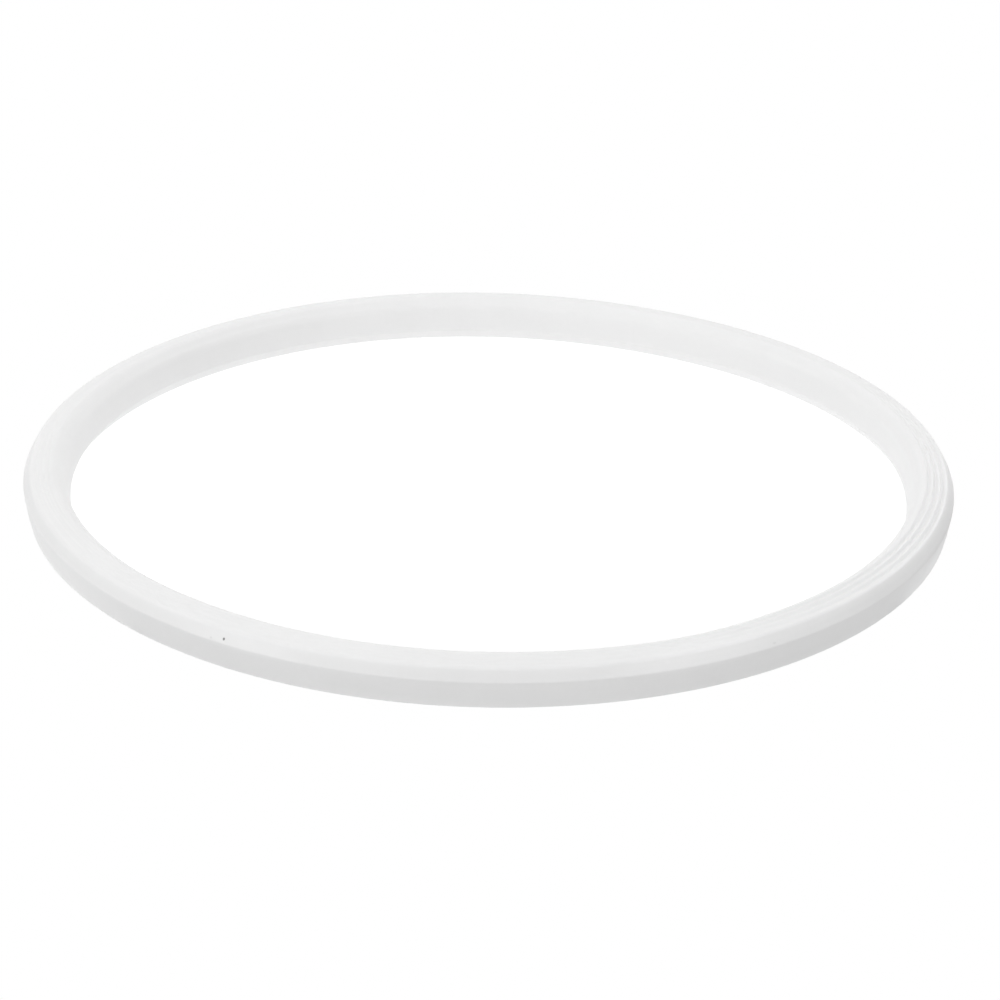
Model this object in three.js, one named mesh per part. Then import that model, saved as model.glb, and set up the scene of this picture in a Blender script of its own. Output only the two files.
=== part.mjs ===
// Sealing ring of a stovetop pressure cooker: one moulding in white silicone rubber.
//
// The ring lies flat on its seat face. Going up the outside and down the inside, its section has
// a flat seat, a tapered foot, an outer wall that leans out a little to the ring's widest line, a
// chamfer, a gently sloped top face with grip grooves, a rounded crown, a slope down to a
// shoulder, a steep inner wall down to the tip of a lip, and a bevel under the lip to the seat.
//
// Units are millimetres, +Z is up, and the origin is on the ring's axis at the seat face.

import * as THREE from 'three';

// Driving dimensions
const INNER_DIAMETER = 220; // across the tip of the lip
const RING_WIDTH = 12.5; // from the lip's tip to the widest line
const RING_HEIGHT = 11.8; // from the seat to the crown

// Outer side
const FOOT_HEIGHT = 3;
const FOOT_TAPER = 0.7; // how far the foot draws in below the wall
const WALL_LEAN = 0.75; // how far the wall leans out above the foot
const WIDEST_HEIGHT = 7.35;
const CHAMFER_WIDTH = 1.65;

// Top
const TOP_FACE_SLOPE = 13; // degrees, rising inwards
const GRIP_GROOVES = 3;
const GROOVE_PITCH = 1.76;
const GROOVE_DEPTH = 0.26;
const GROOVE_RIM = 0.25; // plain face left at either end of the grooves
const CROWN_FLAT = 0.65;

// Inner side
const SHOULDER_TO_LIP = 1.6;
const SHOULDER_DROP = 2.3; // below the crown
const LIP_HEIGHT = 3;
const LIP_UNDERCUT = 2.3; // from the lip's tip back to the seat's inner edge

// Rounding of the edges
const SEAT_EDGE_RADIUS = 0.4;
const FOOT_RADIUS = 8;
const WIDEST_EDGE_RADIUS = 1;
const CHAMFER_EDGE_RADIUS = 0.3;
const CROWN_RADIUS = 1.2;
const SHOULDER_RADIUS = 3;
const LIP_RADIUS = 0.8;

// Fineness of the mesh
const RING_STEPS = 96;
const FILLET_STEPS = 3;
const GROOVE_STEPS = 4;

const SILICONE = { color: 0xf2f2f0, roughness: 0.55, metalness: 0 };

const point = (radius, height) => new THREE.Vector2(radius, height);

// The arc that rounds one corner of the outline and touches both of its sides.
function roundedCorner(before, corner, after, radius) {
  const toBefore = before.clone().sub(corner).normalize();
  const toAfter = after.clone().sub(corner).normalize();
  const halfAngle = Math.acos(toBefore.dot(toAfter)) / 2;
  const shorterSide = Math.min(before.distanceTo(corner), after.distanceTo(corner));
  const reach = Math.min(radius / Math.tan(halfAngle), shorterSide / 2);
  const toCentre = toBefore.clone().add(toAfter).normalize();
  const centre = corner.clone().addScaledVector(toCentre, reach / Math.cos(halfAngle));
  const start = corner.clone().addScaledVector(toBefore, reach).sub(centre);
  const end = corner.clone().addScaledVector(toAfter, reach).sub(centre);
  const turn = Math.atan2(start.cross(end), start.dot(end));
  const middle = point(0, 0);
  const stepAngles = Array.from({ length: FILLET_STEPS + 1 }, (_, step) => (turn * step) / FILLET_STEPS);
  return stepAngles.map((angle) => start.clone().rotateAround(middle, angle).add(centre));
}

// The grip grooves: whole waves that start and end level with the top face and dip below it.
function gripGrooves(start, alongFace, belowFace) {
  const steps = GRIP_GROOVES * GROOVE_STEPS;
  return Array.from({ length: steps + 1 }, (_, step) => {
    const waves = step / GROOVE_STEPS;
    const depth = (GROOVE_DEPTH * (1 - Math.cos(2 * Math.PI * waves))) / 2;
    return start.clone()
      .addScaledVector(alongFace, waves * GROOVE_PITCH)
      .addScaledVector(belowFace, depth);
  });
}

// The ring's section as a closed outline of (radius, height) points, seen with the axis on the left.
function ringSection() {
  const lipTipRadius = INNER_DIAMETER / 2;
  const widestRadius = lipTipRadius + RING_WIDTH;

  const slope = THREE.MathUtils.degToRad(TOP_FACE_SLOPE);
  const alongFace = point(-Math.cos(slope), Math.sin(slope));
  const belowFace = point(-Math.sin(slope), -Math.cos(slope));
  const faceLength = 2 * GROOVE_RIM + GRIP_GROOVES * GROOVE_PITCH;

  const seatInside = point(lipTipRadius + LIP_UNDERCUT, 0);
  const seatOutside = point(widestRadius - WALL_LEAN - FOOT_TAPER, 0);
  const footTop = point(widestRadius - WALL_LEAN, FOOT_HEIGHT);
  const widest = point(widestRadius, WIDEST_HEIGHT);
  const chamferEdge = point(widestRadius - CHAMFER_WIDTH, RING_HEIGHT - faceLength * Math.sin(slope));
  const grooveStart = chamferEdge.clone().addScaledVector(alongFace, GROOVE_RIM);
  const grooveEnd = chamferEdge.clone().addScaledVector(alongFace, faceLength - GROOVE_RIM);
  const crownOutside = chamferEdge.clone().addScaledVector(alongFace, faceLength);
  const crownInside = point(crownOutside.x - CROWN_FLAT, RING_HEIGHT);
  const shoulder = point(lipTipRadius + SHOULDER_TO_LIP, RING_HEIGHT - SHOULDER_DROP);
  const lipTip = point(lipTipRadius, LIP_HEIGHT);

  const outline = [
    ...roundedCorner(lipTip, seatInside, seatOutside, SEAT_EDGE_RADIUS),
    ...roundedCorner(seatInside, seatOutside, footTop, SEAT_EDGE_RADIUS),
    ...roundedCorner(seatOutside, footTop, widest, FOOT_RADIUS),
    ...roundedCorner(footTop, widest, chamferEdge, WIDEST_EDGE_RADIUS),
    ...roundedCorner(widest, chamferEdge, grooveStart, CHAMFER_EDGE_RADIUS),
    ...gripGrooves(grooveStart, alongFace, belowFace),
    ...roundedCorner(grooveEnd, crownOutside, crownInside, CROWN_RADIUS),
    ...roundedCorner(crownOutside, crownInside, shoulder, CROWN_RADIUS),
    ...roundedCorner(crownInside, shoulder, lipTip, SHOULDER_RADIUS),
    ...roundedCorner(shoulder, lipTip, seatInside, LIP_RADIUS),
  ];
  return [...outline, outline[0].clone()];
}

function sealingRing() {
  const geometry = new THREE.LatheGeometry(ringSection(), RING_STEPS);
  geometry.rotateX(Math.PI / 2); // the lathe turns about Y, the ring stands about Z
  const ring = new THREE.Mesh(geometry, new THREE.MeshStandardMaterial(SILICONE));
  ring.name = 'sealing_ring';
  return ring;
}

const pressureCookerSeal = new THREE.Group();
pressureCookerSeal.add(sealingRing());

export default pressureCookerSeal;
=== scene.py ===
# %% [markdown]
# # The sealing ring of a stovetop pressure cooker
#
# This ring is one moulding in white silicone rubber. It lies in the rim of the lid, and the pot's
# edge presses into it, so that steam can't get out. It has no seam, no core and no second piece.
#
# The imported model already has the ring's true size and place, as a coarse solid. Here it gets its
# looks: a fine surface, the finish of moulded silicone, and a plain white studio to stand in.

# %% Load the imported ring
import math

import bpy
import numpy as np
from mathutils import Matrix, Vector


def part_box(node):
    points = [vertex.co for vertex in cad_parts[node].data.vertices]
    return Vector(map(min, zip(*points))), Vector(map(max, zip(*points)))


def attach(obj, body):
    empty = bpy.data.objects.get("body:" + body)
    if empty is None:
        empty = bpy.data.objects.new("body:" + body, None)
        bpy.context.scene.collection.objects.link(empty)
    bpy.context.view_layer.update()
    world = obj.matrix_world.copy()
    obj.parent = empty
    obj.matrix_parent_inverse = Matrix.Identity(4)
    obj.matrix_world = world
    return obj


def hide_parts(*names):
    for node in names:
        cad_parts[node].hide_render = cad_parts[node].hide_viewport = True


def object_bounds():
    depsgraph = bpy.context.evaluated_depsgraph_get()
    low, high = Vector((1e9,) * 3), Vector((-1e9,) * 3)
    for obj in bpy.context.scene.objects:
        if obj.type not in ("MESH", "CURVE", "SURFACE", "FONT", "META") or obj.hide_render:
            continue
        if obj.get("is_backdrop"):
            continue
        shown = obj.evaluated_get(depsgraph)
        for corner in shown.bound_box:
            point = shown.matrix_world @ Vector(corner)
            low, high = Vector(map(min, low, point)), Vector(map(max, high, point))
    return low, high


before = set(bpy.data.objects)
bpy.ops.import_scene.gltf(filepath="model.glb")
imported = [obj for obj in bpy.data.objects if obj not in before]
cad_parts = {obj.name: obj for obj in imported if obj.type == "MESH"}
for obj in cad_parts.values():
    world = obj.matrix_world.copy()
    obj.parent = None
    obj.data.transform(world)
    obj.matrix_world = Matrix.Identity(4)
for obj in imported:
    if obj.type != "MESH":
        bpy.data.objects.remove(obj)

packed_low, packed_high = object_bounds()
ring_low, ring_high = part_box("sealing_ring")
MM = 0.001
ring_size = (ring_high - ring_low) / MM
seat_middle = Vector(((ring_low.x + ring_high.x) / 2, (ring_low.y + ring_high.y) / 2, ring_low.z))
print(f"packed ring: {ring_size.x:.1f} x {ring_size.y:.1f} x {ring_size.z:.1f} mm")

# %% [markdown]
# ## The camera
#
# Close up with a short lens, the near side of a ring looks much thicker than its far side. A long
# lens from a metre away keeps the two alike, which is how small goods are usually shown. The
# camera could be aimed with a constraint, but a matrix built from three directions says plainly
# where its right, its up and its back point, and leaves nothing for later steps to undo.

# %% Set up the camera
CAMERA_ELEVATION = math.radians(24.5)
CAMERA_ROLL = math.radians(1.07)
CAMERA_DISTANCE = 1.0938
LENS_MM = 148.7
SENSOR_MM = 36
FARTHEST_SEEN = 20
ASIDE, BELOW = 3.03 * MM, 0.60 * MM

level_right = Vector((1, 0, 0))
back = Vector((0, -math.cos(CAMERA_ELEVATION), math.sin(CAMERA_ELEVATION)))
level_up = back.cross(level_right)
right = level_right * math.cos(CAMERA_ROLL) + level_up * math.sin(CAMERA_ROLL)
up = back.cross(right)

camera_data = bpy.data.cameras.new("studio_camera")
camera_data.lens = LENS_MM
camera_data.sensor_width = SENSOR_MM
camera_data.clip_end = FARTHEST_SEEN
camera = bpy.data.objects.new("studio_camera", camera_data)
camera_place = seat_middle + right * ASIDE - up * BELOW + back * CAMERA_DISTANCE
camera_turn = Matrix((right, up, back)).transposed().to_4x4()
camera.matrix_world = Matrix.Translation(camera_place) @ camera_turn
bpy.context.scene.collection.objects.link(camera)
bpy.context.scene.camera = camera
print(f"camera {(camera_place - seat_middle).length:.3f} m from the ring, lens {LENS_MM} mm")

# %% [markdown]
# ## The ring's section
#
# A ring like this is drawn by its section, the shape that a straight cut through the rubber would
# show. From the flat seat it goes up a tapered foot and a nearly upright outer wall to the widest
# line, then over a chamfer onto the top face with three grip grooves, over a round crown, down a
# slope to a shoulder, and down a steep inner wall to the lip. Under the lip it draws back to the
# seat.
#
# The section could be a Bezier curve with a Screw modifier on it. Here it is a list of corners,
# each rounded by an arc that touches both of its sides, because a mould is cut that way and every
# size stays a plain number. Heights and distances are in millimetres and start from the packed
# ring's own outside and height. A rounding is the radius of the arc at a corner.

# %% Sizes of the section, in millimetres
OUT_OF_ROUND_ALLOWANCE = 0.30
widest_radius = ring_size.x / 2 - OUT_OF_ROUND_ALLOWANCE
crown_height = ring_size.z

RING_WIDTH = 12.35
FOOT_HEIGHT, FOOT_TAPER = 3.0, 0.7
WALL_LEAN, WIDEST_HEIGHT = 0.75, 7.35
TOP_FACE_SLOPE = math.radians(13)
FACE_WIDTH, CORNER_ABOVE_CROWN = 6.35, 0.20
SHOULDER_TO_LIP, SHOULDER_DROP = 1.6, 2.3
LIP_HEIGHT, LIP_UNDERCUT = 3.0, 2.3

SEAT_ROUNDING, FOOT_ROUNDING = 0.4, 8.0
WIDEST_ROUNDING, CHAMFER_ROUNDING = 1.0, 20.0
CROWN_ROUNDING, SHOULDER_ROUNDING, LIP_ROUNDING = 2.3, 3.0, 0.8
print(f"section {RING_WIDTH} mm wide and {crown_height:.1f} mm high")
print(f"its widest line is {widest_radius:.2f} mm from the ring's axis")

# %% [markdown]
# The ring isn't equally crisp all round. On the right its grooves are deep and its chamfer ends in
# a clear edge, and a little of that shows again at the left end. Elsewhere the grooves are nearly
# gone and the edge is soft, and at one place in front the crown has been pressed a little flat.
# Three outlines with the same number of points can later be mixed for each place round the ring.

# %% What differs between the crisp, the worn and the pressed outline
CRISP = {"groove_depth": 0.55, "edge_rounding": 0.5, "chamfer_width": 1.95, "chamfer_belly": 0.10}
WORN = {"groove_depth": 0.06, "edge_rounding": 1.9, "chamfer_width": 1.65, "chamfer_belly": 0.02}
PRESSED = {**WORN, "crown_drop": 0.45}
for name, sizes in (("crisp", CRISP), ("worn", WORN), ("pressed", PRESSED)):
    print(name, sizes)


# %% Round a corner
def rounded_corner(before, corner, after, radius, steps):
    """The points of the arc that touches both sides of a corner."""
    to_before = (before - corner).normalized()
    to_after = (after - corner).normalized()
    half_angle = to_before.angle(to_after) / 2
    shorter_side = min((before - corner).length, (after - corner).length)
    reach = min(radius / math.tan(half_angle), shorter_side / 2)
    centre = corner + (to_before + to_after).normalized() * (reach / math.cos(half_angle))
    start = corner + to_before * reach - centre
    turn = -start.angle_signed(corner + to_after * reach - centre)
    return [centre + Matrix.Rotation(turn * step / steps, 2) @ start for step in range(steps + 1)]


square = Vector((0, 0)), Vector((1, 0)), Vector((1, 1))
quarter = rounded_corner(*square, radius=0.4, steps=15)
print(f"a square corner becomes {len(quarter)} points, from {quarter[0][:]} to {quarter[-1][:]}")


# %% Press the grip grooves into the top face
GROOVES, GROOVE_PITCH, OUTER_RIM = 3, 1.80, 0.38


def grooved(points, face_start, along_face, groove_depth):
    """The points of the face, dipped along whole waves that start and end level with it."""
    below_face = Vector((-along_face.y, along_face.x))
    dipped = []
    for point in points:
        waves = ((point - face_start).dot(along_face) - OUTER_RIM) / GROOVE_PITCH
        depth = groove_depth * (1 - math.cos(2 * math.pi * waves)) / 2 if 0 < waves < GROOVES else 0
        dipped.append(point + below_face * depth)
    return dipped


inwards = Vector((-1, 0))
groove_middle = inwards * (OUTER_RIM + GROOVE_PITCH / 2)
lowered = grooved([groove_middle], Vector((0, 0)), inwards, groove_depth=0.5)[0]
print(f"the middle of a groove 0.5 mm deep comes to {lowered.y:.2f} mm")

# %% Join the corners into one closed outline
FACE_STEPS = 36


def ring_section(groove_depth, edge_rounding, chamfer_width, chamfer_belly, crown_drop=0):
    """The section's outline as (radius, height) points, up the outside and down the inside."""
    lip_radius = widest_radius - RING_WIDTH
    face_rise = FACE_WIDTH * math.sin(TOP_FACE_SLOPE)
    face_run = FACE_WIDTH * math.cos(TOP_FACE_SLOPE)
    corner_height = crown_height + CORNER_ABOVE_CROWN

    seat_inside = Vector((lip_radius + LIP_UNDERCUT, 0))
    seat_outside = Vector((widest_radius - WALL_LEAN - FOOT_TAPER, 0))
    foot_top = Vector((widest_radius - WALL_LEAN, FOOT_HEIGHT))
    widest = Vector((widest_radius, WIDEST_HEIGHT))
    chamfer_edge = Vector((widest_radius - chamfer_width, corner_height - face_rise))
    bulge_out = Vector((chamfer_edge.y - widest.y, chamfer_width)).normalized() * chamfer_belly
    chamfer_middle = widest.lerp(chamfer_edge, 0.5) + bulge_out
    crown_top = chamfer_edge + Vector((-face_run, face_rise - crown_drop))
    along_face = (crown_top - chamfer_edge).normalized()
    shoulder = Vector((lip_radius + SHOULDER_TO_LIP, crown_height - SHOULDER_DROP))
    lip = Vector((lip_radius, LIP_HEIGHT))

    edge = rounded_corner(chamfer_middle, chamfer_edge, crown_top, edge_rounding, steps=9)
    crown = rounded_corner(chamfer_edge, crown_top, shoulder, CROWN_ROUNDING, steps=9)
    face = [edge[-1].lerp(crown[0], step / FACE_STEPS) for step in range(1, FACE_STEPS)]
    return [
        *rounded_corner(lip, seat_inside, seat_outside, SEAT_ROUNDING, steps=12),
        *rounded_corner(seat_inside, seat_outside, foot_top, SEAT_ROUNDING, steps=8),
        *rounded_corner(seat_outside, foot_top, widest, FOOT_ROUNDING, steps=3),
        *rounded_corner(foot_top, widest, chamfer_middle, WIDEST_ROUNDING, steps=7),
        *rounded_corner(widest, chamfer_middle, chamfer_edge, CHAMFER_ROUNDING, steps=2),
        *grooved(edge + face + crown, chamfer_edge, along_face, groove_depth),
        *rounded_corner(crown_top, shoulder, lip, SHOULDER_ROUNDING, steps=7),
        *rounded_corner(shoulder, lip, seat_inside, LIP_ROUNDING, steps=10),
    ]


outlines = [ring_section(**sizes) for sizes in (CRISP, WORN, PRESSED)]
print("outlines of", [len(outline) for outline in outlines], "points")

# %% [markdown]
# Smooth shading blends the direction of a surface between its points. Next to a small arc, a long
# flat side would be blended too and would look swollen. Points set evenly along the flat sides
# keep each blend inside its own short stretch, which is simpler than marking sharp edges and lets
# the edges stay soft, as rubber is.

# %% Set points evenly along the flat sides
POINT_SPACING = 0.35
TOUCHING = 1e-4


def gaps(outline):
    """The distance from each point to the next, round the closed outline."""
    return [(there - here).length for here, there in zip(outline, outline[1:] + outline[:1])]


def evened(outline, pieces_of_sides):
    """The closed outline with each of its sides cut into pieces."""
    points = []
    for here, there, pieces in zip(outline, outline[1:] + outline[:1], pieces_of_sides):
        points += [here.lerp(there, piece / pieces) for piece in range(pieces)]
    return np.array([point[:] for point in points])


longest_gaps = [max(side) for side in zip(*map(gaps, outlines))]
pieces_of_sides = [math.ceil(gap / POINT_SPACING) if gap > TOUCHING else 0 for gap in longest_gaps]
even_outlines = [evened(outline, pieces_of_sides) for outline in outlines]
crisp_section, worn_section, pressed_section = even_outlines
section_points = len(worn_section)
section_width, section_height = np.ptp(worn_section, axis=0)
print(f"section of {section_points} points, {section_width:.2f} x {section_height:.3f} mm")

# %% [markdown]
# ## Sweep the section round
#
# The spin tool or a Screw modifier would turn the section into a perfect ring. Silicone is soft,
# though, and a loose ring never lies perfectly round: it keeps a little of the shape that it was
# packed in. So each station round the ring is placed by code, with a few slow waves in its radius.
# Each wave has a number of bulges, a size in millimetres and the angle of its first bulge.

# %% Slow waves in the ring's radius
SOFT_WAVES = ((2, 0.50, -41), (3, 0.28, 13.5), (4, 0.28, 10), (5, 0.07, 27))
STATIONS = 480


def out_of_round(angle):
    """How far the ring bulges at an angle, in millimetres."""
    waves = [size * np.cos(bulges * (angle - math.radians(at))) for bulges, size, at in SOFT_WAVES]
    return sum(waves)


station_angles = np.arange(STATIONS) * (2 * math.pi / STATIONS)
bulge = out_of_round(station_angles)
print(f"the ring is out of round by {bulge.min():.2f} to {bulge.max():.2f} mm")

# %% [markdown]
# The outlines are mixed by angle: 0 is on the right, -90 in front and 180 at the left end. Each
# place has a middle angle and the degrees over which it fades away before and after that angle.

# %% Mix the outlines round the ring
CRISP_ON_THE_RIGHT = (-8, 38, 18)
CRISPEST_ON_THE_RIGHT = (-9, 8, 9)
CRISP_AT_THE_LEFT_END = (-176, 14, 18)
PRESSED_IN_FRONT = (-63, 13, 9)
A_LITTLE = 0.25


def share(middle, spread_before, spread_after):
    """How much each station has of an outline: all at the middle angle, and less on each side."""
    away = (np.degrees(station_angles) - middle + 180) % 360 - 180
    spread = np.where(away < 0, spread_before, spread_after)
    return np.exp(-((away / spread) ** 2))[:, None, None]


crispness = share(*CRISP_ON_THE_RIGHT) + A_LITTLE * share(*CRISPEST_ON_THE_RIGHT)
crispness = crispness + A_LITTLE * share(*CRISP_AT_THE_LEFT_END)
sections = worn_section + (crisp_section - worn_section) * crispness
sections = sections + (pressed_section - worn_section) * share(*PRESSED_IN_FRONT)
print(f"{len(sections)} stations, crispness {crispness.min():.2f} to {crispness.max():.2f}")

# %% Place the points of every station
radius = sections[..., 0] + bulge[:, None]
height = sections[..., 1]
across = radius * np.cos(station_angles)[:, None]
deep = radius * np.sin(station_angles)[:, None]
middle_shift = np.array([(across.max() + across.min()) / 2, (deep.max() + deep.min()) / 2, 0])
vertices = np.stack([across, deep, height], axis=-1).reshape(-1, 3) - middle_shift
vertices = vertices * MM + np.array(seat_middle)
print(f"{len(vertices)} points, moved by {np.abs(middle_shift).max():.2f} mm to the packed middle")

# %% Join the points into the ring's mesh
station, point = np.meshgrid(np.arange(STATIONS), np.arange(section_points), indexing="ij")
this_station = station * section_points
next_station = (station + 1) % STATIONS * section_points
next_point = (point + 1) % section_points
quads = np.stack([
    this_station + point,
    next_station + point,
    next_station + next_point,
    this_station + next_point,
], axis=-1).reshape(-1, 4)

ring_mesh = bpy.data.meshes.new("silicone_ring")
ring_mesh.from_pydata(vertices.tolist(), [], quads.tolist())
ring_mesh.shade_smooth()
ring = bpy.data.objects.new("silicone_ring", ring_mesh)
bpy.context.scene.collection.objects.link(ring)
print(f"ring mesh: {len(ring_mesh.vertices)} points, {len(ring_mesh.polygons)} faces")

# %% [markdown]
# ## White silicone
#
# Moulded silicone has no grain. What the eye reads is a satin skin, a milky depth where light goes
# a millimetre or more in, and the faint turning lines of the mould, which run round the ring. The
# milky depth is Principled's subsurface. The lines could be drawn by a wave texture, but real ones
# are uneven, so noise is read by radius and height with only a trace of the angle, which smears it
# round the ring.

# %% Start the material
REFRACTION = 1.41
MILKY_SHARE, MILKY_DEPTH = 0.35, 1.2 * MM
ALL_COLOURS_ALIKE = (1.0, 1.0, 1.0)

silicone = bpy.data.materials.new("white_silicone")
silicone.use_nodes = True
nodes, links = silicone.node_tree.nodes, silicone.node_tree.links
skin = nodes["Principled BSDF"]
skin.inputs["IOR"].default_value = REFRACTION
skin.inputs["Subsurface Weight"].default_value = MILKY_SHARE
skin.inputs["Subsurface Radius"].default_value = ALL_COLOURS_ALIKE
skin.inputs["Subsurface Scale"].default_value = MILKY_DEPTH
print(f"{silicone.name}: light scatters over about {MILKY_DEPTH / MM:.1f} mm")

# %% [markdown]
# The same few kinds of node are needed again and again, here and later for the tent and the table.
# Each helper adds its nodes to whichever tree the names nodes and links stand for at that moment.

# %% Small helpers for nodes
NOISE_MIDDLE = (0.3, 0.7)


def add_node(kind, **settings):
    """A new node with some of its settings set."""
    node = nodes.new(kind)
    for name, value in settings.items():
        setattr(node, name, value)
    return node


def math_node(operation, first, second=0.0):
    """One sum on two values, each a number or another node's output."""
    node = add_node("ShaderNodeMath", operation=operation)
    for socket, value in zip(node.inputs, (first, second)):
        if isinstance(value, (int, float)):
            socket.default_value = value
        else:
            links.new(value, socket)
    return node.outputs["Value"]


def ramp(value, start, end, at_start, at_end, kind="SMOOTHSTEP"):
    """A number that goes from at_start to at_end while a value goes from start to end."""
    node = add_node("ShaderNodeMapRange", interpolation_type=kind)
    node.inputs["From Min"].default_value = start
    node.inputs["From Max"].default_value = end
    node.inputs["To Min"].default_value = at_start
    node.inputs["To Max"].default_value = at_end
    links.new(value, node.inputs["Value"])
    return node.outputs["Result"]


def noise(vector, scale, detail):
    """A noise pattern's value at a place."""
    node = add_node("ShaderNodeTexNoise")
    node.inputs["Scale"].default_value = scale
    node.inputs["Detail"].default_value = detail
    links.new(vector, node.inputs["Vector"])
    return node.outputs["Fac"]


def between(pattern, low, high):
    """A noise pattern's middle range stretched over low to high."""
    return ramp(pattern, *NOISE_MIDDLE, low, high, kind="LINEAR")


print("the middle range of a noise pattern is taken as", NOISE_MIDDLE)

# %% Where a point of the skin is
ANGLE_STRETCH = 0.004

place = add_node("ShaderNodeTexCoord").outputs["Object"]
apart = add_node("ShaderNodeSeparateXYZ")
links.new(place, apart.inputs["Vector"])
x, y, z = apart.outputs
radius_squared = math_node("ADD", math_node("MULTIPLY", x, x), math_node("MULTIPLY", y, y))
radius_here = math_node("SQRT", radius_squared)
angle_here = math_node("ARCTAN2", y, x)
round_ring = math_node("MULTIPLY", angle_here, ANGLE_STRETCH)
turned = add_node("ShaderNodeCombineXYZ")
for socket, value in zip(turned.inputs, (radius_here, z, round_ring)):
    links.new(value, socket)
turned_place = turned.outputs["Vector"]
print("a turned place has a radius, a height and", ANGLE_STRETCH, "of an angle")

# %% A nearly even white, very slightly clouded
CLOUD_SCALE, CLOUD_DARKEST = 90, 0.985
POWDER_SCALE, POWDER_DARKEST = 900, 0.992

cloud = between(noise(place, CLOUD_SCALE, detail=3), CLOUD_DARKEST, 1.0)
powder = between(noise(place, POWDER_SCALE, detail=2), POWDER_DARKEST, 1.0)
tone = math_node("MULTIPLY", cloud, powder)
print(f"tone from {CLOUD_DARKEST * POWDER_DARKEST:.3f} to 1")

# %% [markdown]
# The light of a real tent isn't quite even, and some of its light and shade is too small for the
# world's soft patches, so it is painted into the colour. The paler ovals are painted highlights,
# such as those of the bright cloth beside the camera's gap on the chamfer, and the darker ones are
# painted shade, such as the dark line along the widest line on the right. Each oval is set by its
# angle round the ring, its height and its two half sizes, and changes the tone by only a few
# hundredths. They could also be painted by hand on an image. The last three are specks of dirt.

# %% Soft ovals of painted light and shade, and specks of dirt: angle, height in mm, half length in degrees, half height in mm, change in tone
PAINTED_SHADING_AND_SPECKS = (
    # Paler rows are painted highlights and darker rows painted shade; the last three rows are
    # specks of dirt.
    (-185, 8.9, 12, 2.2, 0.060),
    (-119, 8.2, 9, 2.4, 0.035),
    (-92, 8.9, 24, 3.0, -0.025),
    (-66, 12.0, 42, 2.4, -0.020),
    (-64, 8.6, 13, 3.0, 0.040),
    (-24, 8.4, 28, 2.2, -0.048),
    (-18, 7.5, 14, 0.7, -0.035),
    (-172, 12.2, 34, 1.0, -0.014),
    (-14, 8.6, 12, 2.4, -0.025),
    (3, 8.2, 8, 2.0, 0.030),
    (-17, 3.5, 8, 4.2, 0.030),
    (-98, 4.5, 16, 4.0, -0.014),
    (-6, 11.0, 16, 1.2, 0.024),
    (-5, 12.1, 38, 0.75, -0.022),
    (-121.29, 8.38, 0.19, 0.42, -0.80),
    (-123.02, 7.85, 0.22, 0.30, -0.10),
    (-54.85, 8.10, 0.35, 0.35, -0.08),
)
paler = sum(change > 0 for *_, change in PAINTED_SHADING_AND_SPECKS)
print(f"{paler} paler marks and {len(PAINTED_SHADING_AND_SPECKS) - paler} darker ones")

# %% [markdown]
# A mark's angle is counted as for the outlines, with 0 on the right and -90 in front. The count
# runs from -270 to 90, because a mark that crossed the jump in the count would be cut in two, and
# that way the jump is at the back, where there is no mark.

# %% Lay one mark on the skin
QUARTER_TURN = 90
from_the_front = math_node("ARCTAN2", x, math_node("MULTIPLY", y, -1))
degrees_from_front = math_node("MULTIPLY", from_the_front, math.degrees(1))
degrees_round = math_node("SUBTRACT", degrees_from_front, QUARTER_TURN)


def oval(angle, mark_height, half_length, half_height):
    """One at the middle of a mark, falling smoothly to nothing at its rim."""
    along = math_node("SUBTRACT", degrees_round, angle)
    along = math_node("DIVIDE", along, half_length)
    upwards = math_node("SUBTRACT", z, mark_height * MM)
    upwards = math_node("DIVIDE", upwards, half_height * MM)
    along_squared = math_node("MULTIPLY", along, along)
    from_middle = math_node("ADD", along_squared, math_node("MULTIPLY", upwards, upwards))
    return ramp(from_middle, 0, 1, 1, 0)


print(f"one radian is {math.degrees(1):.2f} degrees")

# %% [markdown]
# An oval is set by angle and height alone, so it would also lie on the inner wall behind the mark.
# All the marks are on the outside, so together they fade away just inside the crown. Both ends of
# that fading are given in millimetres in from the widest line.

# %% Put the colour together
SILICONE_WHITE = (0.80, 0.80, 0.80)
MARKS_FADE_FROM, MARKS_END = 8.0, 9.5

# The painted highlights and shade, and the specks of dirt, are added to the white's tone here.
painted_shading_and_specks = 0.0
for *shape, change in PAINTED_SHADING_AND_SPECKS:
    painted_shading_and_specks = math_node("ADD", painted_shading_and_specks, math_node("MULTIPLY", oval(*shape), change))
ends_at, fades_from = ((widest_radius - inside) * MM for inside in (MARKS_END, MARKS_FADE_FROM))
outside = ramp(radius_here, ends_at, fades_from, 0, 1)
tone = math_node("ADD", tone, math_node("MULTIPLY", painted_shading_and_specks, outside))
white = add_node("ShaderNodeVectorMath", operation="SCALE")
white.inputs[0].default_value = SILICONE_WHITE
links.new(tone, white.inputs["Scale"])
links.new(white.outputs["Vector"], skin.inputs["Base Color"])
print(f"marks fade away from radius {fades_from / MM:.1f} to {ends_at / MM:.1f} mm")

# %% Sheen and relief: satin skin, mould lines round the ring, fine orange peel
SATIN_SCALE, SMOOTHEST, ROUGHEST = 250, 0.46, 0.58
MOULD_LINE_SCALE, ORANGE_PEEL_SCALE = 2600, 1500
RELIEF_STRENGTH, RELIEF_HEIGHT = 0.25, 0.02 * MM

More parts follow.
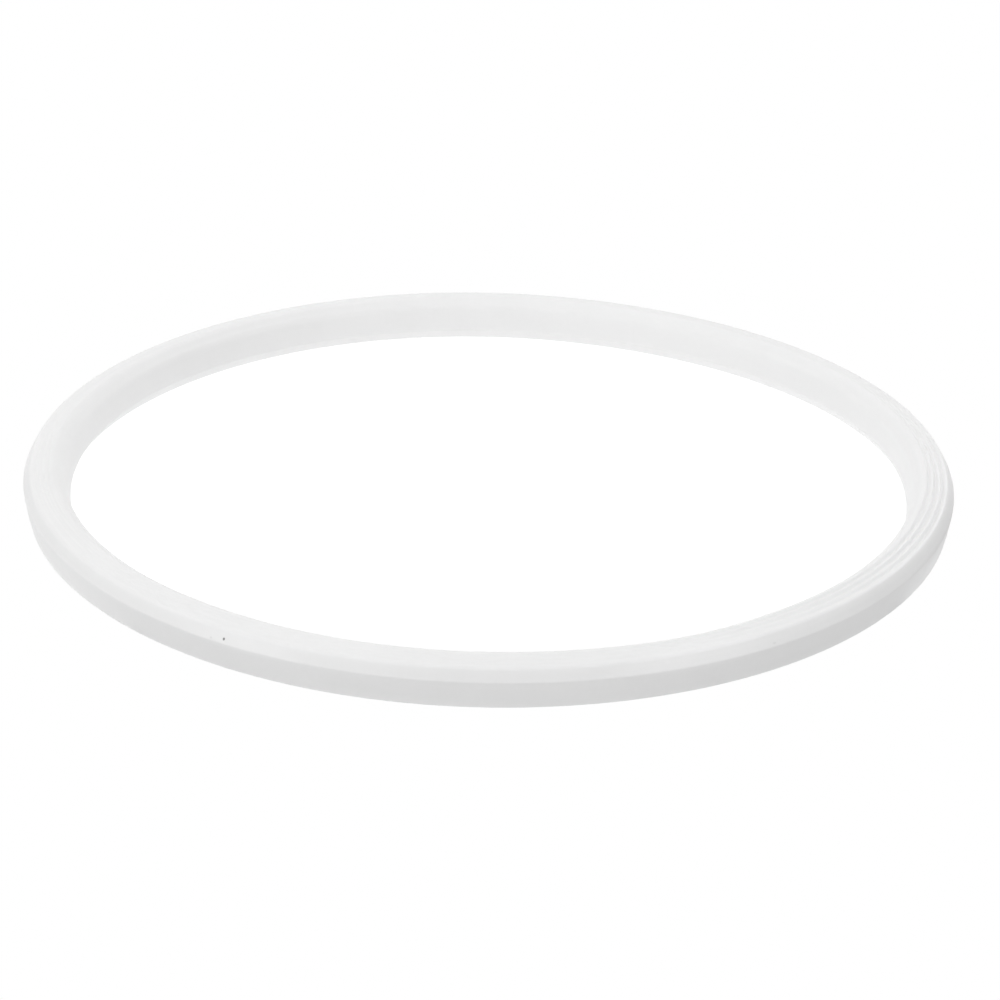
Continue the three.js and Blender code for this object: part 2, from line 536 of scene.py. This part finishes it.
satin = between(noise(place, SATIN_SCALE, detail=3), SMOOTHEST, ROUGHEST)
links.new(satin, skin.inputs["Roughness"])
mould_lines = noise(turned_place, MOULD_LINE_SCALE, detail=2)
orange_peel = noise(place, ORANGE_PEEL_SCALE, detail=2)
relief = add_node("ShaderNodeBump")
relief.inputs["Strength"].default_value = RELIEF_STRENGTH
relief.inputs["Distance"].default_value = RELIEF_HEIGHT
links.new(math_node("ADD", mould_lines, orange_peel), relief.inputs["Height"])
links.new(relief.outputs["Normal"], skin.inputs["Normal"])
ring_mesh.materials.append(silicone)
print(f"{silicone.name} has {len(nodes)} nodes")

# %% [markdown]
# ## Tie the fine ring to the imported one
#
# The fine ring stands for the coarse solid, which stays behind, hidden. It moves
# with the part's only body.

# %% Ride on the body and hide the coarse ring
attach(ring, "root")
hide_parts("sealing_ring")
print(f"{ring.name} rides on root and stands for sealing_ring")

# %% [markdown]
# ## A white tent with two gaps
#
# White goods in an even white room vanish: every side is as bright as the next. A photographer
# hangs a white tent over a light table, which leaves no shadow, and lets two sides stay dark: the
# gap that the camera looks through, and a black card on the right. The ring's front and right then
# come out a little darker than the rest, and its edges can be read.
#
# Cloth and lamps could be modelled. The world's colour does the same with less noise: a white that
# changes slowly with direction, times a soft dark patch for each gap. A patch has a middle, the
# angles in degrees within which it is full and beyond which it is gone, and the light it leaves.

# %% A soft patch of shade round a direction
def towards(azimuth, elevation=0.0):
    """The direction at an angle round the ring and above the floor, both in degrees."""
    azimuth, elevation = math.radians(azimuth), math.radians(elevation)
    level = math.cos(elevation)
    return Vector((math.cos(azimuth) * level, math.sin(azimuth) * level, math.sin(elevation)))


def shade(direction, middle, full, faded, left):
    """What a soft patch leaves of the light: least within the full angle, all beyond the faded."""
    alike = add_node("ShaderNodeVectorMath", operation="DOT_PRODUCT")
    links.new(direction, alike.inputs[0])
    alike.inputs[1].default_value = middle
    angle = math_node("ARCCOSINE", alike.outputs["Value"])
    return ramp(angle, math.radians(full), math.radians(faded), left, 1.0)


print("straight up is", [round(part, 2) for part in towards(0, 90)])

# %% Hang the tent
TENT = 1.69
TENT_BRIGHTER_TOWARDS = (0.42, -0.61, -0.51)
CARD_ON_THE_RIGHT = (towards(-4.5, 6), 24, 46, 0)
GAP_FOR_THE_CAMERA = (towards(-89, 24.5), 22, 28, 0)
WHITE = (1, 1, 1, 1)

tent = bpy.data.worlds.new("tent")
tent.use_nodes = True
nodes, links = tent.node_tree.nodes, tent.node_tree.links
ray = add_node("ShaderNodeTexCoord").outputs["Generated"]
slope = add_node("ShaderNodeVectorMath", operation="DOT_PRODUCT")
links.new(ray, slope.inputs[0])
slope.inputs[1].default_value = TENT_BRIGHTER_TOWARDS
cloth = math_node("ADD", slope.outputs["Value"], TENT)
for gap in (CARD_ON_THE_RIGHT, GAP_FOR_THE_CAMERA):
    cloth = math_node("MULTIPLY", cloth, shade(ray, *gap))
to_camera = add_node("ShaderNodeLightPath").outputs["Is Camera Ray"]
links.new(math_node("MAXIMUM", cloth, to_camera), nodes["Background"].inputs["Strength"])
nodes["Background"].inputs["Color"].default_value = WHITE
bpy.context.scene.world = tent
print(f"{tent.name} has {len(nodes)} nodes")

# %% [markdown]
# The light table shines up at the ring. It is a little dimmer in front, where the camera's gap
# leaves it unlit, and beside the black card. Those dim patches act only on light that goes to the
# ring: to the camera the table is plain white, so that it needs no cutting out afterwards.

# %% Lay the light table
TABLE_HALF = 3.0

floor_mesh = bpy.data.meshes.new("floor")
corner_signs = ((-1, -1), (1, -1), (1, 1), (-1, 1))
floor_corners = [
    (sideways * TABLE_HALF, away * TABLE_HALF, ring_low.z) for sideways, away in corner_signs
]
floor_mesh.from_pydata(floor_corners, [], [(0, 1, 2, 3)])
floor = bpy.data.objects.new("floor", floor_mesh)
bpy.context.scene.collection.objects.link(floor)
floor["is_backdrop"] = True
print(f"floor {2 * TABLE_HALF:.0f} m square")

# %% [markdown]
# The glow changes at three distances from the ring's middle, in metres: inside the opening, under
# the ring, and a little outside it. Each of the four zones lights another side of the ring, so the
# table works like four lamps and needs no more objects. The patches of shade are set as for the
# tent.

# %% Zones of the table, and its patches of shade
MIDDLE_REACH, MIDDLE_GLOW = 0.098, 1.01
LIP_REACH, LIP_GLOW = 0.115, 1.10
WALL_REACH, WALL_GLOW = 0.135, 0.92
FAR_GLOW = 0.765
FRONT_LEFT_SHADE = (towards(-90), 38, 65, 0.79)
FRONT_RIGHT_SHADE = (towards(-70), 39, 43, 0.79)
SHADE_BY_THE_CARD = (towards(-11), 0, 23, 0.34)

light_table = bpy.data.materials.new("light_table")
light_table.use_nodes = True
nodes, links = light_table.node_tree.nodes, light_table.node_tree.links
nodes.remove(nodes["Principled BSDF"])
table_place = add_node("ShaderNodeTexCoord").outputs["Object"]
from_middle = add_node("ShaderNodeVectorMath", operation="LENGTH")
links.new(table_place, from_middle.inputs[0])
outwards = add_node("ShaderNodeVectorMath", operation="NORMALIZE")
links.new(table_place, outwards.inputs[0])
distance, direction = from_middle.outputs["Value"], outwards.outputs["Vector"]


def inside_or(reach, glow_inside, glow_outside):
    """One glow within a distance of the middle and another beyond it."""
    is_inside = math_node("LESS_THAN", distance, reach)
    extra = math_node("SUBTRACT", glow_inside, glow_outside)
    return math_node("ADD", glow_outside, math_node("MULTIPLY", is_inside, extra))


print(f"zones end {MIDDLE_REACH}, {LIP_REACH} and {WALL_REACH} m from the middle")

# %% Let the table glow
left_shade = shade(direction, *FRONT_LEFT_SHADE)
right_shade = shade(direction, *FRONT_RIGHT_SHADE)
wall_glow = math_node("MULTIPLY", math_node("MINIMUM", left_shade, right_shade), WALL_GLOW)
far_glow = math_node("MULTIPLY", shade(direction, *SHADE_BY_THE_CARD), FAR_GLOW)
glow = inside_or(WALL_REACH, wall_glow, far_glow)
glow = inside_or(LIP_REACH, LIP_GLOW, glow)
glow = inside_or(MIDDLE_REACH, MIDDLE_GLOW, glow)
to_camera = add_node("ShaderNodeLightPath").outputs["Is Camera Ray"]
emission = add_node("ShaderNodeEmission")
links.new(math_node("MAXIMUM", glow, to_camera), emission.inputs["Strength"])
links.new(emission.outputs["Emission"], nodes["Material Output"].inputs["Surface"])
floor_mesh.materials.append(light_table)
print(f"{light_table.name} has {len(nodes)} nodes")

# %% [markdown]
# Blender's usual view transform dims bright whites, as film does. The Standard one leaves them be.

# %% Keep white white
bpy.context.scene.view_settings.view_transform = "Standard"
print("view transform:", bpy.context.scene.view_settings.view_transform)

# %% [markdown]
# ## Measure the result
#
# Both boxes, the imported ring's and the fine ring's, are set side by side. The fine ring may not
# be larger than the imported one.

# %% Set the two boxes side by side and print the fine ring's size
visual_low, visual_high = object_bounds()
sizes = {
    "cad": [list(packed_low), list(packed_high)],
    "visual": [list(visual_low), list(visual_high)],
}
print("fine ring in mm:", [round(side / MM, 2) for side in visual_high - visual_low])
